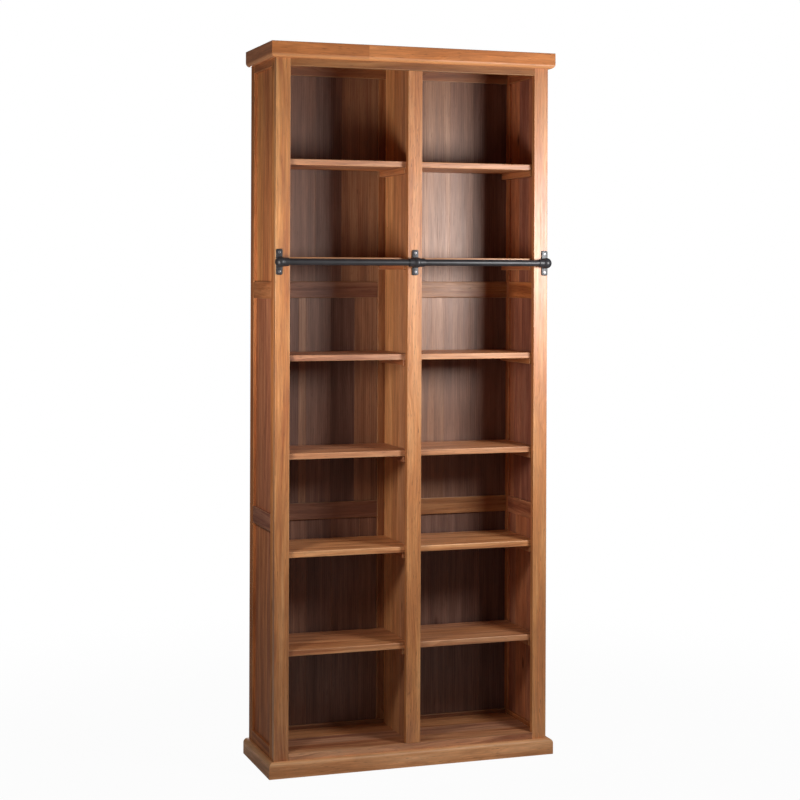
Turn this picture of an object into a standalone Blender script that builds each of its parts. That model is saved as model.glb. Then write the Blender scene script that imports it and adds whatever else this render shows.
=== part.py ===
"""Tall acacia bookcase with two bays of loose shelves and an iron ladder rail.

Metres, +Z up, front facing -Y.  The pieces are drawn with the face frame's front at
y = 0, and an empty carries them so that the origin lies under the middle of the whole.
"""

import math

import bmesh
import bpy

# Carcase
HEIGHT = 2.200
WIDTH = 0.885
DEPTH = 0.296
GAP = 0.0003
ARRIS = 0.0015

# Cornice and plinth mouldings
MOULD_TALL = 0.048
MOULD_THICK = 0.0175
MOULD_ROUND = 0.013
ROUND_STEPS = 6

# Top and bottom boards
TOP_THICK = 0.020
BOTTOM_THICK = 0.018
BOTTOM_LIFT = 0.001
DADO_DEEP = 0.006

# Face frame
FACE_THICK = 0.020
STILE_WIDE = 0.046
TOP_RAIL_TALL = 0.050
TENON_LONG = 0.020
TENON_THICK = 0.008
TENON_SHOULDER = 0.008
TONGUE_THICK = 0.008
TONGUE_LONG = 0.006

# Side frames, with rails at the same heights as the back's
SIDE_THICK = 0.025
SIDE_FRONT_WIDE = 0.028
SIDE_REAR_WIDE = 0.040
FOOT_RAIL_TALL = 0.080
MID_RAIL_TALL = 0.052
GROOVE_DEEP = 0.008
PANEL_THICK = 0.008
PANEL_RECESS = 0.009
PANEL_SLACK = 0.001

# Back frame
BACK_THICK = 0.024
BACK_INSET = 0.002

# Middle partition
PARTITION_THICK = 0.010
BACK_STILE_WIDE = 0.058

# Shelves, and the battens under their ends
SHELF_COUNT = 6
SHELF_THICK = 0.018
SHELF_FRONT_PLAY = 0.0015
SHELF_BACK_PLAY = 0.003
SHELF_SIDE_PLAY = 0.002
SHELF_ARRIS = 0.002
LOWEST_EXTRA = 0.009
BATTEN_WIDE = 0.022
BATTEN_TALL = 0.0184
BATTEN_INSET = 0.0065

# Ladder rail
RAIL_HEIGHT = 1.541
RAIL_REACH = 0.017
TUBE_RADIUS = 0.010
TUBE_WALL = 0.002
TUBE_SOCKET = 0.006
BALL_RADIUS = 0.0165
COLLAR_RADIUS = 0.0125
COLLAR_LONG = 0.026
NECK_RADIUS = 0.0135
BRACKET_INSET = 0.011
PLATE_WIDE = 0.020
PLATE_TALL = 0.078
PLATE_THICK = 0.004
PLATE_CORNER = 0.005
SCREW_SPACING = 0.058
SCREW_RADIUS = 0.0023
SCREW_HEAD_RADIUS = 0.0042
LATHE_SIDES = 24
BALL_STEPS = 7
HOLE_SIDES = 12

# Heights that several pieces share
CARCASE_TOP = HEIGHT - TOP_THICK - GAP
BOTTOM_UNDER = MOULD_TALL + BOTTOM_LIFT
BOTTOM_TOP = BOTTOM_UNDER + BOTTOM_THICK
RAIL_UNDER = CARCASE_TOP - TOP_RAIL_TALL

# Distances inwards from a side's outer face, and backwards from the face frame
GROOVE_NEAR = PANEL_RECESS
GROOVE_FAR = PANEL_RECESS + PANEL_THICK + 2 * GAP
SIDE_FRONT = FACE_THICK + GAP
SIDE_FRONT_END = SIDE_FRONT + SIDE_FRONT_WIDE
SIDE_REAR_START = DEPTH - SIDE_REAR_WIDE
BACK_END = DEPTH - BACK_INSET
BACK_FRONT = BACK_END - BACK_THICK
BACK_GROOVE_NEAR = BACK_FRONT + PANEL_RECESS
BACK_GROOVE_FAR = BACK_GROOVE_NEAR + PANEL_THICK + 2 * GAP
SHELF_FRONT = FACE_THICK + SHELF_FRONT_PLAY
SHELF_BACK = BACK_FRONT - SHELF_BACK_PLAY
BATTEN_FRONT = SHELF_FRONT + BATTEN_INSET

# Shelf spacing: the opening is shared out evenly, with a little more under the lowest shelf
SHELF_SPACE = RAIL_UNDER - BOTTOM_TOP - LOWEST_EXTRA
SHELF_CLEAR = (SHELF_SPACE - SHELF_COUNT * SHELF_THICK) / (SHELF_COUNT + 1)
SHELF_PITCH = SHELF_CLEAR + SHELF_THICK

SIDES = {"left": -1, "right": 1}

# Colours as sRGB hex, with roughness and metallic value
FINISHES = {
    "frame": ("C68A56", 0.42, 0.0),
    "panel": ("9C6540", 0.45, 0.0),
    "shelf": ("C88E5E", 0.42, 0.0),
    "moulding": ("B87A4C", 0.40, 0.0),
    "iron": ("2B2A2E", 0.38, 0.9),
}


def linear(hex_colour):
    """Turn an sRGB hex colour into linear red, green, blue and alpha."""
    channels = [int(hex_colour[i:i + 2], 16) / 255 for i in (0, 2, 4)]
    return [c / 12.92 if c <= 0.04045 else ((c + 0.055) / 1.055) ** 2.4 for c in channels] + [1.0]


def finish(piece, kind):
    """Make the piece's own material in one of the finishes."""
    colour, roughness, metallic = FINISHES[kind]
    material = bpy.data.materials.new(f"{piece}_{kind}")
    material.use_nodes = True
    shader = material.node_tree.nodes["Principled BSDF"]
    shader.inputs["Base Color"].default_value = linear(colour)
    shader.inputs["Roughness"].default_value = roughness
    shader.inputs["Metallic"].default_value = metallic
    return material


def place(name, mesh, kind, origin, carrier, smooth=False):
    """Put a mesh into the scene as a named piece whose origin is at the given point."""
    for vertex in mesh.vertices:
        vertex.co = [c - o for c, o in zip(vertex.co, origin)]
    mesh.name = name
    mesh.materials.clear()
    mesh.materials.append(finish(name, kind))
    if smooth:
        mesh.shade_smooth()
        mesh.set_sharp_from_angle(angle=math.radians(35))
    piece = bpy.data.objects.new(name, mesh)
    bpy.context.scene.collection.objects.link(piece)
    piece.parent = carrier
    piece.location = origin
    return piece


def finished_mesh(shape):
    """Close a bmesh into a mesh with its faces pointing out."""
    bmesh.ops.recalc_face_normals(shape, faces=shape.faces)
    mesh = bpy.data.meshes.new("piece")
    shape.to_mesh(mesh)
    shape.free()
    return mesh


def add_prism(shape, outline, axis, start, end):
    """Add an outline carried along X, Y or Z; its two coordinates are the other axes in order."""
    rings = []
    for level in (start, end):
        ring = []
        for a, b in outline:
            point = {"X": (level, a, b), "Y": (a, level, b), "Z": (a, b, level)}[axis]
            ring.append(shape.verts.new(point))
        rings.append(ring)
    first, last = rings
    count = len(outline)
    for i in range(count):
        j = (i + 1) % count
        shape.faces.new((first[i], first[j], last[j], last[i]))
    shape.faces.new(first)
    shape.faces.new(last)


def prism(outline, axis, start, end):
    """Make a mesh of one outline carried along an axis."""
    shape = bmesh.new()
    add_prism(shape, outline, axis, start, end)
    return finished_mesh(shape)


def rectangle(a0, a1, b0, b1):
    """List the corners of a rectangle."""
    return [(a0, b0), (a1, b0), (a1, b1), (a0, b1)]


def block(x, y, z):
    """Make a box from its ranges along the three axes."""
    return prism(rectangle(*x, *y), "Z", *z)


def combine(mesh, other, operation):
    """Join another mesh to a mesh, or cut it away."""
    base = bpy.data.objects.new("base", mesh)
    tool = bpy.data.objects.new("tool", other)
    for helper in (base, tool):
        bpy.context.scene.collection.objects.link(helper)
    modifier = base.modifiers.new("shape", "BOOLEAN")
    modifier.operation = operation
    modifier.object = tool
    depsgraph = bpy.context.evaluated_depsgraph_get()
    result = bpy.data.meshes.new_from_object(base.evaluated_get(depsgraph))
    for helper in (base, tool):
        bpy.data.objects.remove(helper)
    return result


def join(mesh, *others):
    """Fuse further shapes to a mesh."""
    for other in others:
        mesh = combine(mesh, other, "UNION")
    return mesh


def cut(mesh, *others):
    """Take further shapes out of a mesh."""
    for other in others:
        mesh = combine(mesh, other, "DIFFERENCE")
    return mesh


def lathe(profile, sides, axis):
    """Turn a closed profile of (along, radius) points about X or Y; points on the axis close it."""
    shape = bmesh.new()
    turn = [2 * math.pi * i / sides for i in range(sides)]
    rings = []
    for along, radius in profile:
        spots = [(radius * math.cos(t), radius * math.sin(t)) for t in turn]
        if radius == 0:
            spots = spots[:1]
        ring = [shape.verts.new((along, a, b) if axis == "X" else (a, along, b)) for a, b in spots]
        rings.append(ring if radius else ring * sides)
    for near, far in zip(rings, rings[1:] + rings[:1]):
        for i in range(sides):
            j = (i + 1) % sides
            corners = list(dict.fromkeys((near[i], near[j], far[j], far[i])))
            if len(corners) > 2:
                shape.faces.new(corners)
    return finished_mesh(shape)


def moved(mesh, x, y, z):
    """Shift a mesh by the given distances."""
    for vertex in mesh.vertices:
        vertex.co = (vertex.co.x + x, vertex.co.y + y, vertex.co.z + z)
    return mesh


def arc(centre, radius, first, last, steps):
    """List points on an arc between two angles in degrees."""
    angles = [math.radians(first + (last - first) * i / steps) for i in range(steps + 1)]
    return [(centre[0] + radius * math.cos(a), centre[1] + radius * math.sin(a)) for a in angles]


def shelf_under(number):
    """Height of the underside of a shelf, numbered from the bottom."""
    return BOTTOM_TOP + LOWEST_EXTRA + number * SHELF_PITCH - SHELF_THICK


def panel_levels(foot):
    """Heights of the three panel openings between a foot rail and the top rail."""
    tall = (RAIL_UNDER - foot - 2 * MID_RAIL_TALL) / 3
    return [(foot + i * (tall + MID_RAIL_TALL), foot + i * (tall + MID_RAIL_TALL) + tall) for i in range(3)]


def across(side, inset):
    """Place along X of a distance inwards from a side's outer face."""
    return side * (WIDTH / 2 - inset)


def mirrored(outline, side):
    """Turn an outline's first coordinate, an inset from the outer face, into X."""
    return [(across(side, inset), other) for inset, other in outline]


def battens(outline):
    """Make a column of battens from one outline seen from above, with one under each shelf."""
    shape = bmesh.new()
    for number in range(1, SHELF_COUNT + 1):
        top = shelf_under(number) - GAP
        add_prism(shape, outline, "Z", top - BATTEN_TALL, top)
    return finished_mesh(shape)


# Face frame


def make_face_frame(carrier):
    """Two outer stiles and the top rail, tenoned together."""
    groove_middle = SIDE_THICK / 2
    groove_half = TONGUE_THICK / 2 + GAP
    groove_end = FACE_THICK - TONGUE_LONG - GAP
    stile = [
        (ARRIS, 0), (STILE_WIDE - ARRIS, 0), (STILE_WIDE, ARRIS), (STILE_WIDE, FACE_THICK),
        (groove_middle + groove_half, FACE_THICK), (groove_middle + groove_half, groove_end),
        (groove_middle - groove_half, groove_end), (groove_middle - groove_half, FACE_THICK),
        (0, FACE_THICK), (0, ARRIS),
    ]
    tenon_y = (FACE_THICK / 2 - TENON_THICK / 2, FACE_THICK / 2 + TENON_THICK / 2)
    tenon_z = (RAIL_UNDER + TENON_SHOULDER, CARCASE_TOP - TENON_SHOULDER)
    rail_end = WIDTH / 2 - STILE_WIDE - GAP
    for word, side in SIDES.items():
        body = prism(mirrored(stile, side), "Z", 0, CARCASE_TOP)
        mortise_x = sorted((side * (rail_end - GAP), side * (rail_end + TENON_LONG + 2 * GAP)))
        mortise = block(mortise_x, (tenon_y[0] - GAP, tenon_y[1] + GAP), (tenon_z[0] - GAP, tenon_z[1] + GAP))
        origin = (across(side, STILE_WIDE / 2), 0, 0)
        place(f"face_stile_{word}", cut(body, mortise), "frame", origin, carrier)
    rail = [
        (0, RAIL_UNDER + ARRIS), (ARRIS, RAIL_UNDER), (FACE_THICK, RAIL_UNDER),
        (FACE_THICK, CARCASE_TOP), (0, CARCASE_TOP),
    ]
    body = prism(rail, "X", -rail_end, rail_end)
    reach = rail_end + TENON_LONG
    tenons = [block(sorted((s * (rail_end - TENON_LONG), s * reach)), tenon_y, tenon_z) for s in (-1, 1)]
    place("face_top_rail", join(body, *tenons), "frame", (0, 0, RAIL_UNDER), carrier)


# Side frames


def side_stiles(word, side, carrier):
    """Front and rear stile of one side; the front one carries the shelf battens."""
    middle = SIDE_THICK / 2
    half = TONGUE_THICK / 2
    front = [
        (0, SIDE_FRONT), (middle - half, SIDE_FRONT), (middle - half, SIDE_FRONT - TONGUE_LONG),
        (middle + half, SIDE_FRONT - TONGUE_LONG), (middle + half, SIDE_FRONT), (SIDE_THICK, SIDE_FRONT),
        (SIDE_THICK, SIDE_FRONT_END), (GROOVE_FAR, SIDE_FRONT_END),
        (GROOVE_FAR, SIDE_FRONT_END - GROOVE_DEEP), (GROOVE_NEAR, SIDE_FRONT_END - GROOVE_DEEP),
        (GROOVE_NEAR, SIDE_FRONT_END), (ARRIS, SIDE_FRONT_END), (0, SIDE_FRONT_END - ARRIS),
    ]
    rear = [
        (0, SIDE_REAR_START + ARRIS), (ARRIS, SIDE_REAR_START), (GROOVE_NEAR, SIDE_REAR_START),
        (GROOVE_NEAR, SIDE_REAR_START + GROOVE_DEEP), (GROOVE_FAR, SIDE_REAR_START + GROOVE_DEEP),
        (GROOVE_FAR, SIDE_REAR_START), (SIDE_THICK, SIDE_REAR_START),
        (SIDE_THICK, BACK_GROOVE_NEAR), (SIDE_THICK - GROOVE_DEEP, BACK_GROOVE_NEAR),
        (SIDE_THICK - GROOVE_DEEP, BACK_GROOVE_FAR), (SIDE_THICK, BACK_GROOVE_FAR),
        (SIDE_THICK, DEPTH), (0, DEPTH),
    ]
    key = SIDE_THICK - (SIDE_THICK - GROOVE_FAR) / 2
    key_end = SIDE_FRONT_END - ARRIS
    batten = [
        (SIDE_THICK + BATTEN_WIDE, BATTEN_FRONT), (key, BATTEN_FRONT), (key, key_end),
        (SIDE_THICK + GAP, key_end), (SIDE_THICK + GAP, SHELF_BACK), (SIDE_THICK + BATTEN_WIDE, SHELF_BACK),
    ]
    front_body = join(prism(mirrored(front, side), "Z", 0, CARCASE_TOP), battens(mirrored(batten, side)))
    rear_body = prism(mirrored(rear, side), "Z", 0, CARCASE_TOP)
    for end, body, start in (("front", front_body, SIDE_FRONT), ("rear", rear_body, SIDE_REAR_START)):
        place(f"side_{end}_stile_{word}", body, "frame", (across(side, middle), start, 0), carrier)


def side_rail(name, outline, web, side, carrier):
    """One cross rail of a side, with a tongue in each stile's groove."""
    start = SIDE_FRONT_END + GAP
    end = SIDE_REAR_START - GAP
    body = prism(mirrored(outline, side), "Y", start, end)
    reach = GROOVE_DEEP - 2 * GAP
    thick = sorted((across(side, GROOVE_NEAR + GAP), across(side, GROOVE_FAR - GAP)))
    tongues = [
        block(thick, (start - reach, start + GROOVE_DEEP), web),
        block(thick, (end - GROOVE_DEEP, end + reach), web),
    ]
    origin = (across(side, SIDE_THICK / 2), start, outline[0][1])
    place(name, join(body, *tongues), "frame", origin, carrier)


def groove_below(level, front, near, far):
    """Outline points of an underside with an eased front edge and a panel groove."""
    return [
        (front, level + ARRIS), (front + ARRIS, level), (near, level), (near, level + GROOVE_DEEP),
        (far, level + GROOVE_DEEP), (far, level),
    ]


def groove_above(level, front, near, far):
    """Outline points of a top edge with a panel groove and an eased front edge."""
    return [
        (far, level), (far, level - GROOVE_DEEP), (near, level - GROOVE_DEEP), (near, level),
        (front + ARRIS, level), (front, level - ARRIS),
    ]


def web_between(low, high):
    """Height range of a rail's tongue, clear of the panels above and below it."""
    return (low + GAP, high - GAP)


def make_side(word, side, carrier):
    """One frame-and-panel side: two stiles, four rails and three panels."""
    side_stiles(word, side, carrier)
    groove = (0, GROOVE_NEAR, GROOVE_FAR)
    openings = panel_levels(FOOT_RAIL_TALL)

    foot = [(0, 0), (SIDE_THICK, 0)]
    foot += [(SIDE_THICK, BOTTOM_UNDER - GAP), (SIDE_THICK - DADO_DEEP, BOTTOM_UNDER - GAP)]
    foot += [(SIDE_THICK - DADO_DEEP, BOTTOM_TOP + GAP), (SIDE_THICK, BOTTOM_TOP + GAP)]
    foot += [(SIDE_THICK, FOOT_RAIL_TALL)] + groove_above(FOOT_RAIL_TALL, *groove)
    foot_web = web_between(0, FOOT_RAIL_TALL - GROOVE_DEEP)
    side_rail(f"side_bottom_rail_{word}", foot, foot_web, side, carrier)

    for label, (low, high) in zip(("lower", "upper"), ((openings[i][1], openings[i + 1][0]) for i in range(2))):
        outline = groove_below(low, *groove) + [(SIDE_THICK, low), (SIDE_THICK, high)] + groove_above(high, *groove)
        web = web_between(low + GROOVE_DEEP, high - GROOVE_DEEP)
        side_rail(f"side_{label}_rail_{word}", outline, web, side, carrier)

    top = groove_below(RAIL_UNDER, *groove)
    top += [(SIDE_THICK, RAIL_UNDER), (SIDE_THICK, CARCASE_TOP), (0, CARCASE_TOP)]
    top_web = web_between(RAIL_UNDER + GROOVE_DEEP, CARCASE_TOP)
    side_rail(f"side_top_rail_{word}", top, top_web, side, carrier)

    reach = GROOVE_DEEP - PANEL_SLACK
    thick = sorted((across(side, GROOVE_NEAR + GAP), across(side, GROOVE_FAR - GAP)))
    for label, (low, high) in zip(("bottom", "middle", "top"), openings):
        start = SIDE_FRONT_END - reach
        panel = block(thick, (start, SIDE_REAR_START + reach), (low - reach, high + reach))
        place(f"side_{label}_panel_{word}", panel, "panel", (thick[0], start, low - reach), carrier)


# Middle partition


def make_partition(carrier):
    """Centre stiles of the face frame and the back, and a thin board between them with its battens."""
    board = PARTITION_THICK / 2
    slot = board + GAP
    face_half = STILE_WIDE / 2
    face_slot = FACE_THICK - TONGUE_LONG - GAP
    front = [
        (-face_half, ARRIS), (ARRIS - face_half, 0), (face_half - ARRIS, 0), (face_half, ARRIS),
        (face_half, FACE_THICK), (slot, FACE_THICK), (slot, face_slot), (-slot, face_slot),
        (-slot, FACE_THICK), (-face_half, FACE_THICK),
    ]
    body = prism(front, "Z", BOTTOM_TOP + GAP, RAIL_UNDER - GAP)
    place("partition_front_post", body, "frame", (0, 0, BOTTOM_TOP), carrier)

    back_half = BACK_STILE_WIDE / 2
    back_slot = BACK_FRONT + TONGUE_LONG + GAP
    side_slot = back_half - GROOVE_DEEP
    corners = [
        (slot, back_slot), (slot, BACK_FRONT), (back_half - ARRIS, BACK_FRONT), (back_half, BACK_FRONT + ARRIS),
        (back_half, BACK_GROOVE_NEAR), (side_slot, BACK_GROOVE_NEAR), (side_slot, BACK_GROOVE_FAR),
        (back_half, BACK_GROOVE_FAR), (back_half, BACK_END),
    ]
    rear = corners + [(-x, y) for x, y in reversed(corners)]
    body = prism(rear, "Z", FOOT_RAIL_TALL + GAP, RAIL_UNDER - GAP)
    place("partition_rear_post", body, "frame", (0, BACK_FRONT, FOOT_RAIL_TALL), carrier)

    near = FACE_THICK + GAP
    far = BACK_FRONT - GAP
    near_tongue = FACE_THICK - TONGUE_LONG
    far_tongue = BACK_FRONT + TONGUE_LONG
    low = BOTTOM_TOP + GAP
    low_tongue = FOOT_RAIL_TALL + GAP
    high_tongue = RAIL_UNDER - GAP
    outline = [
        (near_tongue, low), (far, low), (far, low_tongue), (far_tongue, low_tongue), (far_tongue, high_tongue),
        (far, high_tongue), (far, CARCASE_TOP), (near, CARCASE_TOP), (near, high_tongue),
        (near_tongue, high_tongue),
    ]
    reach = board + BATTEN_WIDE
    body = prism(outline, "X", -board, board)
    body = join(body, battens(rectangle(-reach, reach, BATTEN_FRONT, SHELF_BACK)))
    place("partition_board", body, "panel", (0, near, BOTTOM_TOP), carrier)


# Back frame


def back_rail(name, outline, web, ends, carrier):
    """One cross rail of the back, with a tongue at each end."""
    start, end = ends
    body = prism(outline, "X", start, end)
    reach = GROOVE_DEEP - 2 * GAP
    thick = (BACK_GROOVE_NEAR + GAP, BACK_GROOVE_FAR - GAP)
    tongues = [
        block((start - reach, start + GROOVE_DEEP), thick, web),
        block((end - GROOVE_DEEP, end + reach), thick, web),
    ]
    place(name, join(body, *tongues), "frame", (start, BACK_FRONT, outline[0][1]), carrier)


def make_back(carrier):
    """Frame-and-panel back: two long rails, and in each bay two mid rails and three panels."""
    groove = (BACK_FRONT, BACK_GROOVE_NEAR, BACK_GROOVE_FAR)
    inner = WIDTH / 2 - SIDE_THICK
    whole = (-inner + GAP, inner - GAP)
    openings = panel_levels(FOOT_RAIL_TALL)

    foot = [(BACK_FRONT, 0), (BACK_END, 0), (BACK_END, FOOT_RAIL_TALL)]
    foot += groove_above(FOOT_RAIL_TALL, *groove)
    back_rail("back_bottom_rail", foot, web_between(0, FOOT_RAIL_TALL - GROOVE_DEEP), whole, carrier)
    top = groove_below(RAIL_UNDER, *groove)
    top += [(BACK_END, RAIL_UNDER), (BACK_END, CARCASE_TOP), (BACK_FRONT, CARCASE_TOP)]
    back_rail("back_top_rail", top, web_between(RAIL_UNDER + GROOVE_DEEP, CARCASE_TOP), whole, carrier)

    reach = GROOVE_DEEP - PANEL_SLACK
    thick = (BACK_GROOVE_NEAR + GAP, BACK_GROOVE_FAR - GAP)
    for word, side in SIDES.items():
        bay = sorted((side * (BACK_STILE_WIDE / 2), side * inner))
        ends = (bay[0] + GAP, bay[1] - GAP)
        gaps_between = ((openings[i][1], openings[i + 1][0]) for i in range(2))
        for label, (low, high) in zip(("lower", "upper"), gaps_between):
            outline = groove_below(low, *groove) + [(BACK_END, low), (BACK_END, high)] + groove_above(high, *groove)
            web = web_between(low + GROOVE_DEEP, high - GROOVE_DEEP)
            back_rail(f"back_{label}_rail_{word}", outline, web, ends, carrier)
        for label, (low, high) in zip(("bottom", "middle", "top"), openings):
            panel = block((bay[0] - reach, bay[1] + reach), thick, (low - reach, high + reach))
            place(f"back_{label}_panel_{word}", panel, "panel", (bay[0], thick[0], low), carrier)


# Top and bottom boards


def make_boards(carrier):
    """Top board over the carcase, and the bottom board housed in the side frames."""
    top = block((-WIDTH / 2, WIDTH / 2), (0, DEPTH), (HEIGHT - TOP_THICK, HEIGHT))
    place("top_board", top, "moulding", (0, 0, HEIGHT - TOP_THICK), carrier)

    opening = WIDTH / 2 - STILE_WIDE - GAP
    inner = WIDTH / 2 - SIDE_THICK - GAP
    housed = inner + DADO_DEEP
    corners = [
        (opening, 0), (opening, SIDE_FRONT), (inner, SIDE_FRONT), (inner, SIDE_FRONT_END + 2 * GAP),
        (housed, SIDE_FRONT_END + 2 * GAP), (housed, SIDE_REAR_START - 2 * GAP),
        (inner, SIDE_REAR_START - 2 * GAP), (inner, BACK_FRONT - GAP),
    ]
    outline = corners + [(-x, y) for x, y in reversed(corners)]
    board = prism(outline, "Z", BOTTOM_UNDER, BOTTOM_TOP)
    place("bottom_board", board, "shelf", (0, 0, BOTTOM_UNDER), carrier)


# Mouldings


def moulding(profile, side):
    """Carry a profile of (reach, height) along the front, or along one side; front corners are mitred."""
    mitre = 0.75 * GAP
    shape = bmesh.new()
    rings = [[], []]
    for reach, height in profile:
        out = reach + GAP
        corner = WIDTH / 2 + out
        if side == 0:
            ends = ((mitre - corner, -out, height), (corner - mitre, -out, height))
        else:
            ends = ((side * corner, mitre - out, height), (side * corner, DEPTH, height))
        for ring, point in zip(rings, ends):
            ring.append(shape.verts.new(point))
    first, last = rings
    for i in range(len(profile)):
        j = (i + 1) % len(profile)
        shape.faces.new((first[i], first[j], last[j], last[i]))
    shape.faces.new(first)
    shape.faces.new(last)
    return finished_mesh(shape)


def make_mouldings(carrier):
    """Cornice and plinth, each of a front length and two returns."""
    centre = MOULD_THICK - MOULD_ROUND
    under = HEIGHT - MOULD_TALL
    cornice = [(0, under)] + arc((centre, under + MOULD_ROUND), MOULD_ROUND, -90, 0, ROUND_STEPS)
    cornice += [(MOULD_THICK, HEIGHT - ARRIS), (MOULD_THICK - ARRIS, HEIGHT), (0, HEIGHT)]
    plinth = [(0, 0), (MOULD_THICK, 0)]
    plinth += arc((centre, MOULD_TALL - MOULD_ROUND), MOULD_ROUND, 0, 90, ROUND_STEPS)
    plinth += [(0, MOULD_TALL)]
    for name, profile in (("cornice", cornice), ("plinth", plinth)):
        level = profile[0][1]
        for word, side in {"front": 0, **SIDES}.items():
            origin = (side * WIDTH / 2, 0, level)
            place(f"{name}_{word}", moulding(profile, side), "moulding", origin, carrier, smooth=True)


# Shelves


def make_shelves(carrier):
    """Loose shelves, numbered from the bottom; each lifts straight up off its two battens."""
    near_board = PARTITION_THICK / 2 + SHELF_SIDE_PLAY
    near_side = WIDTH / 2 - SIDE_THICK - SHELF_SIDE_PLAY
    for word, side in SIDES.items():
        ends = sorted((side * near_board, side * near_side))
        for number in range(1, SHELF_COUNT + 1):
            low = shelf_under(number)
            high = low + SHELF_THICK
            outline = [
                (SHELF_FRONT, low + SHELF_ARRIS), (SHELF_FRONT + SHELF_ARRIS, low), (SHELF_BACK, low),
                (SHELF_BACK, high), (SHELF_FRONT + SHELF_ARRIS, high), (SHELF_FRONT, high - SHELF_ARRIS),
            ]
            origin = ((ends[0] + ends[1]) / 2, (SHELF_FRONT + SHELF_BACK) / 2, low)
            place(f"shelf_{word}_{number}", prism(outline, "X", *ends), "shelf", origin, carrier)


# Ladder rail


def ball(first, last):
    """List (x, radius) points of the bracket's ball between two angles in degrees."""
    return arc((0, 0), BALL_RADIUS, first, last, BALL_STEPS)


def bracket_plate():
    """Make the screw plate behind a bracket's ball, with two countersunk holes."""
    half_wide = PLATE_WIDE / 2
    half_tall = PLATE_TALL / 2
    outline = []
    for sx, sz, turn in ((1, 1, 0), (-1, 1, 90), (-1, -1, 180), (1, -1, 270)):
        corner = (sx * (half_wide - PLATE_CORNER), sz * (half_tall - PLATE_CORNER))
        outline += arc(corner, PLATE_CORNER, turn, turn + 90, 3)
    front = RAIL_REACH - GAP - PLATE_THICK
    back = RAIL_REACH - GAP
    plate = prism(outline, "Y", front, back)
    wide = SCREW_HEAD_RADIUS + PLATE_THICK
    hole = [
        (front - PLATE_THICK, 0), (front - PLATE_THICK, wide), (front + SCREW_HEAD_RADIUS - SCREW_RADIUS, SCREW_RADIUS),
        (back + PLATE_THICK, SCREW_RADIUS), (back + PLATE_THICK, 0),
    ]
    for height in (-SCREW_SPACING / 2, SCREW_SPACING / 2):
        plate = cut(plate, moved(lathe(hole, HOLE_SIDES, "Y"), 0, 0, height))
    return plate


def make_ladder_rail(carrier):
    """Iron tube across the front, held by a middle bracket and a domed bracket at each end."""
    bracket_x = WIDTH / 2 - BRACKET_INSET
    socket = bracket_x + TUBE_SOCKET
    inner = TUBE_RADIUS - TUBE_WALL
    tube = [(-socket, inner), (-socket, TUBE_RADIUS), (socket, TUBE_RADIUS), (socket, inner)]
    axis = (0, -RAIL_REACH, RAIL_HEIGHT)
    body = moved(lathe(tube, LATHE_SIDES, "X"), *axis)
    place("ladder_rail_tube", body, "iron", axis, carrier, smooth=True)

    bore = TUBE_RADIUS + GAP
    neck = math.degrees(math.asin(NECK_RADIUS / BALL_RADIUS))
    middle = [(COLLAR_LONG, bore), (COLLAR_LONG, COLLAR_RADIUS)]
    middle += ball(neck, 180 - neck)
    middle += [(-COLLAR_LONG, COLLAR_RADIUS), (-COLLAR_LONG, bore)]
    end = [(COLLAR_LONG, bore), (COLLAR_LONG, COLLAR_RADIUS)]
    end += ball(neck, 180)[:-1]
    end += [(-BALL_RADIUS, 0), (-TUBE_SOCKET - GAP, 0), (-TUBE_SOCKET - GAP, bore)]

    for word, x in (("left", -bracket_x), ("middle", 0), ("right", bracket_x)):
        if word == "middle":
            body = lathe(middle, LATHE_SIDES, "X")
        else:
            facing = [(-math.copysign(1, x) * along, radius) for along, radius in end]
            body = lathe(facing, LATHE_SIDES, "X")
        body = join(bracket_plate(), body)
        origin = (x, -RAIL_REACH, RAIL_HEIGHT)
        place(f"ladder_rail_bracket_{word}", moved(body, *origin), "iron", origin, carrier, smooth=True)


def main():
    """Clear the scene and build the bookcase under one empty."""
    for thing in list(bpy.data.objects):
        bpy.data.objects.remove(thing)
    reach = max(RAIL_REACH + BALL_RADIUS, MOULD_THICK + GAP)
    carrier = bpy.data.objects.new("bookcase", None)
    bpy.context.scene.collection.objects.link(carrier)
    carrier.location = (0, (reach - DEPTH) / 2, 0)
    make_face_frame(carrier)
    for word, side in SIDES.items():
        make_side(word, side, carrier)
    make_partition(carrier)
    make_back(carrier)
    make_boards(carrier)
    make_mouldings(carrier)
    make_shelves(carrier)
    make_ladder_rail(carrier)


main()
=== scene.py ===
"""Looks of the acacia bookcase: eased boards, mitred mouldings, iron ladder rail and a plain studio.

Every wooden piece is an outline with rounded corners carried along a line, so its arrises catch the light.
Each board brings its own grain coordinates, and the timber is drawn as growth rings in the solid, so faces,
edges and end grain agree.
"""

import logging
import math
from dataclasses import dataclass, field
from enum import Enum

import bpy
import numpy as np
from numpy.typing import NDArray
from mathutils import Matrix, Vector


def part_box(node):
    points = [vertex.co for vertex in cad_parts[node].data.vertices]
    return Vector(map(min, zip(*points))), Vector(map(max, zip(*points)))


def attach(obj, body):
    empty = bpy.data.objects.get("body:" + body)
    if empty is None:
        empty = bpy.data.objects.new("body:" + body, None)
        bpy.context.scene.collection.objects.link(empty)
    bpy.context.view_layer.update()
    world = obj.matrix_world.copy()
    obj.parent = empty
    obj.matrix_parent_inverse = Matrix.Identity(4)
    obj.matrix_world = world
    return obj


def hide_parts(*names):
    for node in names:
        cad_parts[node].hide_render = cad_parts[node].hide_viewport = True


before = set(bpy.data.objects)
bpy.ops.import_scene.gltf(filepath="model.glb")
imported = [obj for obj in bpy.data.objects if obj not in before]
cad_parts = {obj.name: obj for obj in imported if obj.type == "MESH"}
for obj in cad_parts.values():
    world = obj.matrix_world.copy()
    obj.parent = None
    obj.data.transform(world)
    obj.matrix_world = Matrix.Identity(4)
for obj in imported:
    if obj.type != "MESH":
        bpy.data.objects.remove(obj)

Array = NDArray[np.float64]
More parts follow.
